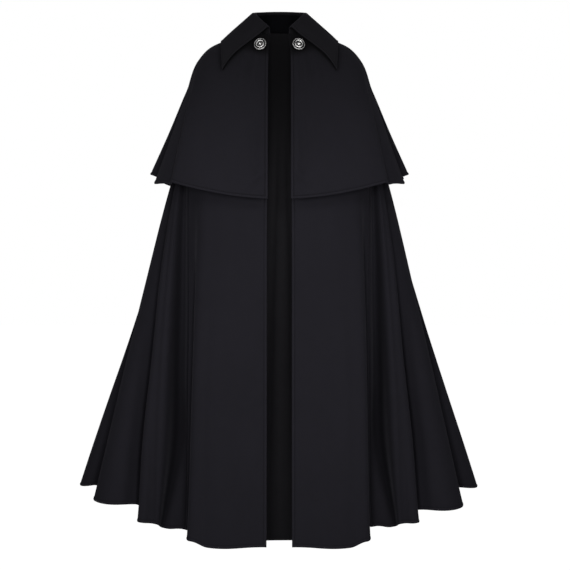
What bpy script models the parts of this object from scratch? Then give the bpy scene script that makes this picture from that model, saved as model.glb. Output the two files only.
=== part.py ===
"""Long wool cloak with a shoulder capelet, a pointed fall collar and two metal shank buttons.

It hangs hollow and open in front, as on a wearer's shoulders. Metres, +Z up, the front faces -Y and
the wearer's left is +X. The origin is the middle of the neck seam, where the wearer carries it.
"""
import math
from collections import namedtuple

import bpy
import numpy as np
from mathutils import Vector

# Driving dimensions
CLOTH = 0.0016  # one layer of coating
COLLAR_CLOTH = 0.0024  # the collar is two layers sewn together
SEAM_GAP = 0.0003  # clearance between neighbouring pieces
SEAM_SETBACK = 0.00021  # of each of two panels from the line of their seam
FOLDS_BEGIN = 0.13  # down from the neck seam, where the drape starts to open
CAPE_FOLDS_BEGIN = 0.30
FOLD_SPREAD = 1.3  # how early the folds fan apart on their way down; 1 is evenly
FOLD_ROLL = 0.11  # how far a fold overhangs its valley, as a share of its depth

BUTTON_RADIUS = 0.0152
BUTTON_SIDE = 0.0435  # from the centre line
BUTTON_DROP = 0.0265  # below the origin
SHANK_RADIUS = 0.003
SHANK_LENGTH = 0.0022

RIGHT = -1  # the wearer's right, towards -X
LEFT = 1

# One level ring of cloth. down: share of the way from neck seam to hem. edge: half of the front
# opening. side, front, back: reach from the axis, and *_z the height there. square: 2 is an
# ellipse, more is boxier. *_arch: how the height goes over from the front or back to the side; less
# keeps it level for longer.
Ring = namedtuple(
    "Ring", "down edge side side_z front front_z back back_z square front_arch back_arch"
)
CLOAK_RINGS = [
    Ring(0.000, 0.0210, 0.064, 0.007, 0.066, -0.003, 0.068, 0.012, 2.0, 0.75, 0.75),
    Ring(0.045, 0.0262, 0.110, -0.016, 0.077, -0.052, 0.092, -0.040, 2.0, 0.75, 0.75),
    Ring(0.088, 0.0270, 0.155, -0.040, 0.096, -0.104, 0.113, -0.096, 2.1, 0.71, 0.71),
    Ring(0.130, 0.0274, 0.182, -0.080, 0.110, -0.152, 0.126, -0.150, 2.2, 0.66, 0.66),
    Ring(0.350, 0.0285, 0.243, -0.330, 0.155, -0.405, 0.168, -0.415, 2.2, 0.62, 0.70),
    Ring(0.695, 0.0285, 0.334, -0.724, 0.228, -0.808, 0.243, -0.830, 2.2, 0.62, 0.90),
    Ring(1.000, 0.0285, 0.433, -1.050, 0.292, -1.178, 0.305, -1.212, 2.2, 0.62, 1.10),
]
CAPE_RINGS = [
    Ring(0.000, 0.0210, 0.0664, 0.0090, 0.0688, -0.0022, 0.0708, 0.0130, 2.0, 0.75, 0.75),
    Ring(0.114, 0.0255, 0.116, -0.008, 0.081, -0.046, 0.096, -0.033, 2.0, 0.75, 0.75),
    Ring(0.236, 0.0264, 0.166, -0.031, 0.102, -0.094, 0.120, -0.085, 2.15, 0.75, 0.75),
    Ring(0.330, 0.0266, 0.192, -0.061, 0.115, -0.130, 0.133, -0.123, 2.35, 0.78, 0.78),
    Ring(0.510, 0.0267, 0.217, -0.132, 0.131, -0.200, 0.149, -0.198, 2.6, 0.85, 0.85),
    Ring(0.770, 0.0267, 0.255, -0.240, 0.154, -0.304, 0.173, -0.306, 2.8, 0.95, 0.95),
    Ring(1.000, 0.0267, 0.290, -0.332, 0.175, -0.388, 0.194, -0.400, 2.9, 1.00, 1.00),
]

# A crest or valley of the drape, counted from the wearer's right front edge round the back to the
# left front edge. top, hem: its place at the two ends, as a share of the way from that side's front
# edge to centre back. swing_*: how far the cloth swings out there, by the percentage of the way
# down. dip: how much lower than its ring the hem hangs. facets: flat steps to the next row.
Fold = namedtuple("Fold", "side top hem swing_35 swing_53 swing_70 swing_85 swing_100 dip facets")
SWING_DOWNS = (0.35, 0.53, 0.70, 0.85, 1.00)
CLOAK_FOLDS = [
    Fold(RIGHT, 0.000, 0.000, 0.000, 0.001, 0.002, 0.004, 0.006, -0.002, 4),
    Fold(RIGHT, 0.250, 0.112, 0.010, 0.015, 0.018, 0.021, 0.024, 0.009, 2),
    Fold(RIGHT, 0.272, 0.143, 0.011, 0.016, 0.020, 0.023, 0.026, 0.001, 3),
    Fold(RIGHT, 0.422, 0.166, 0.000, -0.021, -0.029, -0.034, -0.033, -0.014, 3),
    Fold(RIGHT, 0.446, 0.188, -0.008, -0.033, -0.054, -0.076, -0.063, -0.008, 3),
    Fold(RIGHT, 0.470, 0.232, -0.012, -0.040, -0.063, -0.085, -0.046, 0.001, 5),
    Fold(RIGHT, 0.481, 0.240, 0.006, 0.006, 0.006, 0.000, -0.020, -0.007, 2),
    Fold(RIGHT, 0.487, 0.266, 0.006, 0.013, 0.012, 0.014, 0.003, -0.003, 4),
    Fold(RIGHT, 0.531, 0.269, -0.002, -0.012, -0.052, -0.055, -0.046, -0.034, 4),
    Fold(RIGHT, 0.606, 0.360, 0.008, 0.014, 0.022, 0.027, 0.034, -0.010, 3),
    Fold(RIGHT, 0.665, 0.398, -0.004, 0.000, -0.001, -0.007, -0.016, -0.026, 3),
    Fold(RIGHT, 0.710, 0.440, 0.008, 0.015, 0.022, 0.029, 0.036, -0.009, 3),
    Fold(RIGHT, 0.755, 0.490, -0.006, -0.014, -0.022, -0.029, -0.036, 0.000, 3),
    Fold(RIGHT, 0.800, 0.560, 0.009, 0.016, 0.023, 0.029, 0.034, 0.004, 3),
    Fold(RIGHT, 0.845, 0.630, -0.006, -0.013, -0.020, -0.026, -0.032, 0.000, 3),
    Fold(RIGHT, 0.885, 0.705, 0.009, 0.017, 0.024, 0.030, 0.036, 0.004, 3),
    Fold(RIGHT, 0.925, 0.785, -0.006, -0.014, -0.022, -0.029, -0.036, 0.000, 3),
    Fold(RIGHT, 0.958, 0.860, 0.008, 0.015, 0.021, 0.026, 0.032, 0.002, 3),
    Fold(RIGHT, 0.985, 0.935, -0.005, -0.012, -0.019, -0.025, -0.030, 0.000, 3),
    Fold(LEFT, 0.990, 0.995, 0.007, 0.014, 0.020, 0.025, 0.030, 0.002, 3),
    Fold(LEFT, 0.960, 0.925, -0.006, -0.014, -0.021, -0.027, -0.034, 0.000, 3),
    Fold(LEFT, 0.922, 0.845, 0.008, 0.015, 0.022, 0.028, 0.034, 0.004, 3),
    Fold(LEFT, 0.880, 0.765, -0.006, -0.013, -0.019, -0.024, -0.030, 0.000, 3),
    Fold(LEFT, 0.840, 0.690, 0.009, 0.017, 0.024, 0.030, 0.036, 0.004, 3),
    Fold(LEFT, 0.800, 0.615, -0.006, -0.014, -0.022, -0.029, -0.036, 0.000, 3),
    Fold(LEFT, 0.755, 0.540, 0.007, 0.013, 0.018, 0.022, 0.026, 0.002, 3),
    Fold(LEFT, 0.715, 0.480, -0.006, -0.013, -0.020, -0.026, -0.032, 0.000, 3),
    Fold(LEFT, 0.675, 0.430, 0.007, 0.014, 0.021, 0.027, 0.034, -0.009, 3),
    Fold(LEFT, 0.630, 0.392, -0.004, 0.000, -0.001, -0.007, -0.016, -0.022, 3),
    Fold(LEFT, 0.583, 0.352, 0.008, 0.014, 0.022, 0.027, 0.034, 0.001, 4),
    Fold(LEFT, 0.494, 0.265, -0.002, -0.012, -0.052, -0.055, -0.046, -0.024, 4),
    Fold(LEFT, 0.477, 0.262, 0.006, 0.009, 0.006, 0.008, 0.001, -0.003, 2),
    Fold(LEFT, 0.465, 0.235, 0.006, 0.003, 0.001, -0.004, -0.022, -0.009, 5),
    Fold(LEFT, 0.453, 0.230, -0.012, -0.040, -0.063, -0.085, -0.046, -0.003, 3),
    Fold(LEFT, 0.437, 0.187, -0.008, -0.033, -0.052, -0.076, -0.063, -0.015, 3),
    Fold(LEFT, 0.416, 0.161, 0.000, -0.023, -0.030, -0.035, -0.034, -0.024, 3),
    Fold(LEFT, 0.299, 0.141, 0.011, 0.016, 0.020, 0.023, 0.026, 0.001, 2),
    Fold(LEFT, 0.250, 0.111, 0.010, 0.015, 0.018, 0.021, 0.024, 0.009, 4),
    Fold(LEFT, 0.000, 0.000, 0.000, 0.001, 0.002, 0.004, 0.006, -0.002, 0),
]
CLOAK_SIDE_SEAMS = (11.5, 26.5)  # rows of the fold table that the seams run between
CAPE_FOLDS = [
    Fold(RIGHT, 0.000, 0.000, 0.000, 0.001, 0.002, 0.003, 0.003, 0.000, 5),
    Fold(RIGHT, 0.430, 0.284, 0.000, 0.003, 0.006, 0.008, 0.010, 0.000, 3),
    Fold(RIGHT, 0.460, 0.316, 0.000, -0.001, -0.001, -0.001, -0.002, 0.009, 3),
    Fold(RIGHT, 0.490, 0.392, 0.000, 0.002, 0.004, 0.005, 0.006, 0.016, 2),
    Fold(RIGHT, 0.520, 0.425, 0.000, -0.002, -0.003, -0.004, -0.006, 0.002, 2),
    Fold(RIGHT, 0.560, 0.475, 0.000, 0.004, 0.007, 0.010, 0.013, -0.006, 3),
    Fold(RIGHT, 0.620, 0.555, 0.000, -0.003, -0.006, -0.009, -0.012, 0.000, 3),
    Fold(RIGHT, 0.700, 0.650, 0.000, 0.004, 0.007, 0.010, 0.013, 0.000, 3),
    Fold(RIGHT, 0.785, 0.750, 0.000, -0.003, -0.006, -0.009, -0.012, 0.000, 3),
    Fold(RIGHT, 0.870, 0.850, 0.000, 0.003, 0.006, 0.009, 0.012, 0.000, 3),
    Fold(RIGHT, 0.950, 0.945, 0.000, -0.003, -0.006, -0.009, -0.011, 0.000, 3),
    Fold(LEFT, 0.975, 0.965, 0.000, 0.003, 0.006, 0.009, 0.011, 0.000, 3),
    Fold(LEFT, 0.890, 0.870, 0.000, -0.003, -0.006, -0.009, -0.012, 0.000, 3),
    Fold(LEFT, 0.800, 0.770, 0.000, 0.003, 0.006, 0.009, 0.012, 0.000, 3),
    Fold(LEFT, 0.715, 0.670, 0.000, -0.003, -0.005, -0.007, -0.010, 0.000, 3),
    Fold(LEFT, 0.635, 0.570, 0.000, 0.003, 0.005, 0.007, 0.010, 0.000, 2),
    Fold(LEFT, 0.590, 0.520, 0.000, -0.002, -0.003, -0.004, -0.006, 0.000, 2),
    Fold(LEFT, 0.560, 0.475, 0.000, 0.004, 0.007, 0.010, 0.013, -0.006, 2),
    Fold(LEFT, 0.520, 0.425, 0.000, -0.002, -0.003, -0.004, -0.006, 0.002, 2),
    Fold(LEFT, 0.490, 0.392, 0.000, 0.002, 0.004, 0.005, 0.006, 0.016, 3),
    Fold(LEFT, 0.460, 0.316, 0.000, -0.001, -0.001, -0.001, -0.002, 0.009, 3),
    Fold(LEFT, 0.430, 0.284, 0.000, 0.003, 0.006, 0.008, 0.010, 0.000, 5),
    Fold(LEFT, 0.000, 0.000, 0.000, 0.001, 0.002, 0.003, 0.003, 0.000, 0),
]
CAPE_SIDE_SEAMS = (5.5, 16.5)

# One section across the collar. round: share of the way from its front end to centre back. roll_*:
# where the fall leaves the stand, edge_*: where it ends on the capelet. arch, sink: how far the fall
# rises and how far it sinks back in between.
Section = namedtuple("Section", "round roll_x roll_y roll_z edge_x edge_y edge_z arch sink")
COLLAR_SECTIONS = [
    Section(0.00, 0.0225, -0.0660, 0.0100, 0.1333, -0.0880, -0.0868, 0.0130, 0.013),
    Section(0.20, 0.0450, -0.0430, 0.0310, 0.1358, -0.0610, -0.0488, 0.0060, 0.008),
    Section(0.35, 0.0550, -0.0180, 0.0440, 0.1372, -0.0300, -0.0240, 0.0030, 0.004),
    Section(0.48, 0.0572, 0.0060, 0.0468, 0.1370, 0.0000, -0.0135, 0.0006, 0.000),
    Section(0.60, 0.0520, 0.0265, 0.0495, 0.1300, 0.0380, -0.0195, 0.0010, 0.000),
    Section(0.74, 0.0385, 0.0460, 0.0520, 0.1060, 0.0740, -0.0358, 0.0020, 0.000),
    Section(0.87, 0.0205, 0.0580, 0.0540, 0.0600, 0.0940, -0.0395, 0.0030, 0.000),
    Section(1.00, 0.0000, 0.0620, 0.0547, 0.0000, 0.1005, -0.0340, 0.0030, 0.000),
]
COLLAR_STEPS = 14  # along each half
ROLL_RADIUS = 0.0045  # where the fall turns over
ROLL_RISE = 0.0015  # straight up before it turns
ROLL_STEPS = 4
FALL_STEPS = 7  # from the roll to the edge
STAND_STEPS = 2
ARCH_START, ARCH_END = 1.5, 3  # the fall's arch is highest two thirds of the way out
ARCH_TOP = 2.6

NARROWEST = 0.1  # facet beside a panel's edge, in rows of the fold table
CLOAK_ROWS = (0, 0.022, 0.045, 0.088, 0.13, 0.20, 0.28, 0.36, 0.45, 0.55, 0.66, 0.78, 0.89, 1)
CAPE_ROWS = (0, 0.055, 0.114, 0.236, 0.33, 0.45, 0.58, 0.72, 0.86, 1)

# Button profile, from the middle of the face out and round to the back. out: share of the radius.
# up: height above the button's back.
Profile = namedtuple("Profile", "out up")
BUTTON_PROFILE = [
    Profile(0.00, 0.0066),
    Profile(0.14, 0.0063),
    Profile(0.26, 0.0050),
    Profile(0.34, 0.0038),
    Profile(0.44, 0.0042),
    Profile(0.56, 0.0051),
    Profile(0.68, 0.0046),
    Profile(0.76, 0.0030),
    Profile(0.86, 0.0032),
    Profile(0.96, 0.0028),
    Profile(1.00, 0.0018),
    Profile(0.96, 0.0006),
    Profile(0.60, 0.0000),
    Profile(0.00, 0.0000),
]
BUTTON_SIDES = 16


def clear_scene():
    for item in list(bpy.data.objects):
        bpy.data.objects.remove(item, do_unlink=True)


def new_collection(name):
    collection = bpy.data.collections.new(name)
    bpy.context.scene.collection.children.link(collection)
    return collection


def new_material(name, colour, roughness, metallic=0.0):
    material = bpy.data.materials.new(name)
    material.use_nodes = True
    shader = material.node_tree.nodes["Principled BSDF"]
    shader.inputs["Base Color"].default_value = (*colour, 1)
    shader.inputs["Roughness"].default_value = roughness
    shader.inputs["Metallic"].default_value = metallic
    return material


def new_object(name, points, faces, collection, material):
    mesh = bpy.data.meshes.new(name)
    mesh.from_pydata([tuple(point) for point in points], [], faces)
    item = bpy.data.objects.new(name, mesh)
    item.data.materials.append(material)
    collection.objects.link(item)
    return item


def through(table, places):
    """Values of the table's other columns at places in its first, on smooth curves through them."""
    values = np.array(table, dtype=float)
    knots = values[:, 0]
    slopes = np.gradient(values, knots, axis=0)
    row = np.clip(np.searchsorted(knots, places, side="right") - 1, 0, len(knots) - 2)
    gap = (knots[row + 1] - knots[row])[:, None]
    share = (places - knots[row])[:, None] / gap
    bend = share * share * (3 - 2 * share)
    lift_start = share * (1 - share) ** 2 * gap
    lift_end = share * share * (share - 1) * gap
    return (
        values[row] * (1 - bend)
        + values[row + 1] * bend
        + slopes[row] * lift_start
        + slopes[row + 1] * lift_end
    )


def half_ring(ring, shares):
    """Points of a ring from its front edge to centre back, and the way out of the cloth there."""
    power = 2 / ring.square
    start = math.asin((ring.edge / ring.side) ** (1 / power))
    turn = np.linspace(start, math.pi, 361)
    at_front = turn < math.pi / 2
    reach = np.where(at_front, ring.front, ring.back)
    end_z = np.where(at_front, ring.front_z, ring.back_z)
    cosine = np.cos(turn)
    across = ring.side * np.abs(np.sin(turn)) ** power
    forward = -np.sign(cosine) * np.abs(cosine) ** power
    arch = np.where(at_front, ring.front_arch, ring.back_arch)
    level = ring.side_z + (end_z - ring.side_z) * np.clip(1 - (across / ring.side) ** 2, 0, 1) ** arch
    points = np.stack([across, reach * forward, level], axis=1)
    along = np.gradient(points[:, :2], axis=0)
    along /= np.linalg.norm(along, axis=1)[:, None]
    length = np.concatenate([[0], np.cumsum(np.linalg.norm(np.diff(points[:, :2], axis=0), axis=1))])
    length /= length[-1]
    place = np.stack([np.interp(shares, length, points[:, i]) for i in range(3)], axis=1)
    way = np.stack([np.interp(shares, length, along[:, i]) for i in range(2)], axis=1)
    return place, way


def draped_row(ring, folds, columns, folds_begin):
    """One row of cloth points. columns count along the fold table, 2.5 is between rows 2 and 3."""
    opened = np.clip((ring.down - folds_begin) / (SWING_DOWNS[0] - folds_begin), 0, 1)
    lowered = np.clip((ring.down - SWING_DOWNS[0]) / (1 - SWING_DOWNS[0]), 0, 1)
    side = np.array([fold.side for fold in folds])
    top = np.array([fold.top for fold in folds])
    hem = np.array([fold.hem for fold in folds])
    dip = np.array([fold.dip for fold in folds])
    place = hem + (top - hem) * (1 - ring.down) ** FOLD_SPREAD
    place = np.where(side == RIGHT, place, 2 - place)
    first = Fold._fields.index("swing_35")
    swings = np.array([fold[first : first + len(SWING_DOWNS)] for fold in folds]).T
    by_height = np.column_stack([SWING_DOWNS, swings])
    swing = through(by_height, np.array([max(ring.down, SWING_DOWNS[0])]))[0, 1:] * opened

    row = np.clip(columns.astype(int), 0, len(folds) - 2)
    share = columns - row
    turn = (1 - np.cos(math.pi * share)) / 2
    out = swing[row] * (1 - turn) + swing[row + 1] * turn
    depth = np.abs(swing[row + 1] - swing[row])
    overhang = FOLD_ROLL * depth * np.sin(2 * math.pi * share)
    around = place[row] * (1 - share) + place[row + 1] * share

    on_right = around <= 1
    points, way = half_ring(ring, np.where(on_right, around, 2 - around))
    outward = np.stack([way[:, 1], -way[:, 0]], axis=1)
    heading = np.where(on_right, 1, -1)[:, None] * way
    points[:, :2] += outward * out[:, None] + heading * overhang[:, None]
    points[:, 2] -= (dip[row] * (1 - turn) + dip[row + 1] * turn) * lowered
    points[:, 0] *= np.where(on_right, RIGHT, LEFT)
    return points


def draped_panel(rings, folds, downs, first, last, folds_begin, seams):
    """Grid of points of one panel between two places in the fold table."""
    columns = [first]
    for index, fold in enumerate(folds[:-1]):
        for step in range(fold.facets):
            column = index + step / fold.facets
            if first + NARROWEST < column < last - NARROWEST:
                columns.append(column)
    columns.append(last)
    columns = np.array(columns)
    rows = [Ring(*values) for values in through(rings, np.array(downs, dtype=float))]
    grid = np.array([draped_row(ring, folds, columns, folds_begin) for ring in rows])
    for end, neighbour, is_seam in ((0, 1, seams[0]), (-1, -2, seams[1])):
        if is_seam:
            inward = grid[:, neighbour] - grid[:, end]
            inward /= np.linalg.norm(inward, axis=1)[:, None]
            grid[:, end] += inward * SEAM_SETBACK
    return grid


def cloth_from_grid(name, grid, thickness, collection, material):
    """Closed wall of cloth, half of its thickness on each side of the grid."""
    rows, columns = grid.shape[:2]
    faces = []
    for row in range(rows - 1):
        for column in range(columns - 1):
            corner = row * columns + column
            faces.append((corner, corner + columns, corner + columns + 1, corner + 1))
    item = new_object(name, grid.reshape(-1, 3), faces, collection, material)
    shell = item.modifiers.new("wall", "SOLIDIFY")
    shell.thickness = thickness
    shell.offset = 0
    shell.use_even_offset = True
    return item


def collar_sections():
    """Sections along the whole collar, from the wearer's right front end to the left one."""
    shares = np.linspace(0, 1, COLLAR_STEPS + 1)
    half = through(COLLAR_SECTIONS, shares)
    mirrored = half.copy()
    columns = [Section._fields.index("roll_x"), Section._fields.index("edge_x")]
    mirrored[:, columns] *= -1
    rows = np.concatenate([mirrored, half[-2::-1]])
    return [Section(*values) for values in rows]


def stand_grid():
    """Band from just above the neck seam up to where the fall leaves it."""
    sections = collar_sections()
    shares = np.array([section.round for section in sections])
    neck, _ = half_ring(CLOAK_RINGS[0], shares)
    neck[:, 0] *= np.sign([section.roll_x for section in sections])
    neck[:, 2] += CLOTH / 2 + SEAM_GAP
    top = np.array([(section.roll_x, section.roll_y, section.roll_z) for section in sections])
    share = np.linspace(1, 0, STAND_STEPS + 1)[:, None, None]
    return neck[None] * (1 - share) + top[None] * share


def fall_grid(stand):
    """The fall goes on upwards from the stand, rolls over and lands on the capelet."""
    upwards = stand[0] - stand[-1]
    upwards /= np.linalg.norm(upwards, axis=1)[:, None]
    share = np.linspace(0, 1, FALL_STEPS + 1)[1:, None]
    lines = []
    for section, top, upward in zip(collar_sections(), stand[0], upwards):
        start = top + upward * SEAM_GAP
        turn_start = start + upward * ROLL_RISE
        edge = np.array([section.edge_x, section.edge_y, section.edge_z])
        outward = (edge - top) * (1, 1, 0)
        outward -= upward * (outward @ upward)
        outward /= np.linalg.norm(outward)
        centre = turn_start + outward * ROLL_RADIUS
        aside = (edge - centre) @ outward
        above = (edge - centre) @ upward
        reach = math.hypot(aside, above)
        turn = math.atan2(above, -aside) % (2 * math.pi) - math.acos(ROLL_RADIUS / reach)
        angle = np.linspace(0, turn, ROLL_STEPS + 1)[:, None]
        roll = centre + ROLL_RADIUS * (upward * np.sin(angle) - outward * np.cos(angle))
        fall = roll[-1] + (edge - roll[-1]) * share
        fall[:, 1:2] += section.sink * 4 * share * (1 - share)
        fall[:, 2:] += section.arch * ARCH_TOP * share**ARCH_START * (1 - share**ARCH_END)
        lines.append(np.concatenate([[start], roll, fall]))
    return np.swapaxes(np.array(lines), 0, 1)


def cape_front_point(side, height):
    """Place on the capelet's front at a distance from the centre line, and the way out of it."""
    downs = np.linspace(0, 0.5, 101)
    columns = np.linspace(0, 1, 61)
    rows = [Ring(*values) for values in through(CAPE_RINGS, downs)]
    grid = np.array([draped_row(ring, CAPE_FOLDS, columns, CAPE_FOLDS_BEGIN) for ring in rows])
    miss = (grid[..., 0] + side) ** 2 + (grid[..., 2] - height) ** 2
    row, column = np.unravel_index(np.argmin(miss), miss.shape)
    down = grid[row + 1, column] - grid[row - 1, column]
    along = grid[row, column + 1] - grid[row, column - 1]
    outward = np.cross(along, down)
    outward *= -np.sign(outward[1]) / np.linalg.norm(outward)
    place = grid[row, column]
    aside = np.array([-side - place[0], 0, height - place[2]])
    return place + aside - np.array([0, aside @ outward / outward[1], 0]), outward


def turned_button(name, side, collection, material):
    """Domed button with a raised ring, turned round its own axis, on a short shank."""
    place, outward = cape_front_point(BUTTON_SIDE, -BUTTON_DROP)
    place[0] *= -side
    outward[0] *= -side
    start = CLOTH / 2 + SEAM_GAP
    points = [(BUTTON_RADIUS * row.out, 0, start + SHANK_LENGTH + row.up) for row in BUTTON_PROFILE[:-1]]
    points += [(SHANK_RADIUS, 0, start + SHANK_LENGTH), (SHANK_RADIUS, 0, start), (0, 0, start)]
    mesh = bpy.data.meshes.new(name)
    mesh.from_pydata(points, [(i, i + 1) for i in range(len(points) - 1)], [])
    item = bpy.data.objects.new(name, mesh)
    item.data.materials.append(material)
    collection.objects.link(item)
    turn = item.modifiers.new("turned", "SCREW")
    turn.axis = "Z"
    turn.steps = BUTTON_SIDES
    turn.render_steps = BUTTON_SIDES
    turn.use_merge_vertices = True
    turn.merge_threshold = 0.00001
    item.rotation_mode = "QUATERNION"
    item.rotation_quaternion = Vector(outward).to_track_quat("Z", "Y")
    item.location = place
    return item


clear_scene()
cloak_parts = new_collection("wool_cloak")
wool = new_material("black_wool", (0.020, 0.019, 0.023), 0.9)
metal = new_material("button_metal", (0.33, 0.33, 0.34), 0.35, 1.0)

cloak_end = len(CLOAK_FOLDS) - 1
cloak_panels = (
    ("cloak_front_right", 0, CLOAK_SIDE_SEAMS[0], (False, True)),
    ("cloak_back", CLOAK_SIDE_SEAMS[0], CLOAK_SIDE_SEAMS[1], (True, True)),
    ("cloak_front_left", CLOAK_SIDE_SEAMS[1], cloak_end, (True, False)),
)
for name, first, last, seams in cloak_panels:
    grid = draped_panel(CLOAK_RINGS, CLOAK_FOLDS, CLOAK_ROWS, first, last, FOLDS_BEGIN, seams)
    cloth_from_grid(name, grid, CLOTH, cloak_parts, wool)

cape_end = len(CAPE_FOLDS) - 1
cape_panels = (
    ("cape_front_right", 0, CAPE_SIDE_SEAMS[0], (False, True)),
    ("cape_back", CAPE_SIDE_SEAMS[0], CAPE_SIDE_SEAMS[1], (True, True)),
    ("cape_front_left", CAPE_SIDE_SEAMS[1], cape_end, (True, False)),
)
for name, first, last, seams in cape_panels:
    grid = draped_panel(CAPE_RINGS, CAPE_FOLDS, CAPE_ROWS, first, last, CAPE_FOLDS_BEGIN, seams)
    cloth_from_grid(name, grid, CLOTH, cloak_parts, wool)

stand = stand_grid()
cloth_from_grid("collar_stand", stand, COLLAR_CLOTH, cloak_parts, wool)
cloth_from_grid("collar_fall", fall_grid(stand), COLLAR_CLOTH, cloak_parts, wool)
turned_button("button_right", RIGHT, cloak_parts, metal)
turned_button("button_left", LEFT, cloak_parts, metal)
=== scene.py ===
import math

import bpy
import numpy as np
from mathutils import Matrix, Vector


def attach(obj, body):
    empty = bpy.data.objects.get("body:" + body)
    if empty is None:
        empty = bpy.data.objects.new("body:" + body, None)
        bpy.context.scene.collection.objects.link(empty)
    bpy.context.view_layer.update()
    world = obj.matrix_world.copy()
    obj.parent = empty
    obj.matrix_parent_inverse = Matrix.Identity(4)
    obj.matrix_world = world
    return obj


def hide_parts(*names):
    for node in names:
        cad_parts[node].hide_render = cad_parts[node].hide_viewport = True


# A long black wool cloak with a shoulder capelet, a pointed fall collar and two metal shank
# buttons, hung as on a wearer's shoulders. Metres, +Z up, the front faces -Y, the wearer's left is
# +X and the origin is the middle of the neck seam.

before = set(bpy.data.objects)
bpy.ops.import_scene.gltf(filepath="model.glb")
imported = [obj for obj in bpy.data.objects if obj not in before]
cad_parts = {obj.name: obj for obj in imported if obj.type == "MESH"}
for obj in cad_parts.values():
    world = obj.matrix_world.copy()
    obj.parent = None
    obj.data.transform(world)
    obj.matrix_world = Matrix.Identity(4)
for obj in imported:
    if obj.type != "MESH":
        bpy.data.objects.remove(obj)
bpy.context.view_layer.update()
print("frame loaded")

right, left = -1, 1  # sides as the wearer has them

# How finely curves are sampled before they are read, and how close rows and columns may stand.
sampling = {
    "ring": 721,  # points on half a ring
    "hem": 4000,  # points along a panel, at hemLevel of the way down
    "hemLevel": 0.9,
    "leastCells": 4,  # between two rows of the fold table
    "columnApart": 0.00006,  # at an edge
    "columnGrowth": 0.08,  # more for each metre from the edge, which counts up to columnReach
    "columnReach": 0.012,
    "rowApart": 0.00005,
}
# Distances from a finished edge and from a seam at which rows and columns of cloth stand closer.
edgeSteps = np.array((
    0, 0.0001, 0.0003, 0.0006, 0.0010, 0.0016, 0.0026, 0.0038, 0.0050, 0.0058, 0.0065, 0.0072,
    0.0082, 0.0105, 0.0145,
))
seamSteps = np.array((0, 0.0001, 0.0003, 0.0006, 0.0010, 0.0018, 0.0032, 0.0055))


def smoothRows(table, places):
    # Every other column of the table as a smooth curve over its first one: between two rows it is
    # the cubic whose slopes at the rows are those of the lines through their neighbours.
    values = np.array(table, dtype=float)
    knots = values[:, 0]
    slopes = np.gradient(values, knots, axis=0)
    row = np.clip(np.searchsorted(knots, places, side="right") - 1, 0, len(knots) - 2)
    gap = (knots[row + 1] - knots[row])[:, None]
    share = (places - knots[row])[:, None] / gap
    bend = share * share * (3 - 2 * share)
    liftStart = share * (1 - share) ** 2 * gap
    liftEnd = share * share * (share - 1) * gap
    between = values[row] * (1 - bend) + values[row + 1] * bend
    return between + slopes[row] * liftStart + slopes[row + 1] * liftEnd


def readEach(lengths, values, shares):
    # Straight-line reading of each row's values at that row's shares: rows are laid end to end,
    # two units apart, and read in one go.
    shift = 2.0 * np.arange(len(lengths))[:, None]
    read = np.interp((shares + shift).ravel(), (lengths + shift).ravel(), values.ravel())
    return read.reshape(shares.shape)


def runAlong(points, axis):
    # Distance along the rows (axis 1) or down the columns (axis 0) of a grid of points.
    steps = np.linalg.norm(np.diff(points, axis=axis), axis=2)
    zeros = np.zeros_like(steps[:1] if axis == 0 else steps[:, :1])
    return np.concatenate([zeros, np.cumsum(steps, axis=axis)], axis=axis)


def halfRings(rings, shares):
    # Half of each level ring, from the front edge to centre back. across = side * sin^p and
    # forward = -cos^p times the reach to the front or the back, with p = 2 / square. The height
    # goes from the side's to the front's or back's with (1 - (across / side)^2)^arch, by the arch
    # of the front or of the back. Shares are equal parts of the ring's length seen from above.
    columns = (column[:, None] for column in rings.T[1:])
    edge, side, sideZ, front, frontZ, back, backZ, square, frontArch, backArch = columns
    power = 2 / square
    start = np.arcsin((edge / side) ** (1 / power))
    turn = start + (math.pi - start) * np.linspace(0, 1, sampling["ring"])[None]
    atFront = turn < math.pi / 2
    cosine = np.cos(turn)
    across = side * np.abs(np.sin(turn)) ** power
    forward = -np.sign(cosine) * np.abs(cosine) ** power
    arch = np.clip(1 - (across / side) ** 2, 0, 1) ** np.where(atFront, frontArch, backArch)
    level = sideZ + (np.where(atFront, frontZ, backZ) - sideZ) * arch
    points = np.stack([across, np.where(atFront, front, back) * forward, level], axis=2)
    way = np.gradient(points[..., :2], axis=1)
    way /= np.linalg.norm(way, axis=2)[..., None]
    length = runAlong(points[..., :2], 1)
    length /= length[:, -1:]
    place = np.stack([readEach(length, points[..., i], shares) for i in range(3)], axis=2)
    heading = np.stack([readEach(length, way[..., i], shares) for i in range(2)], axis=2)
    return place, heading


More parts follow.
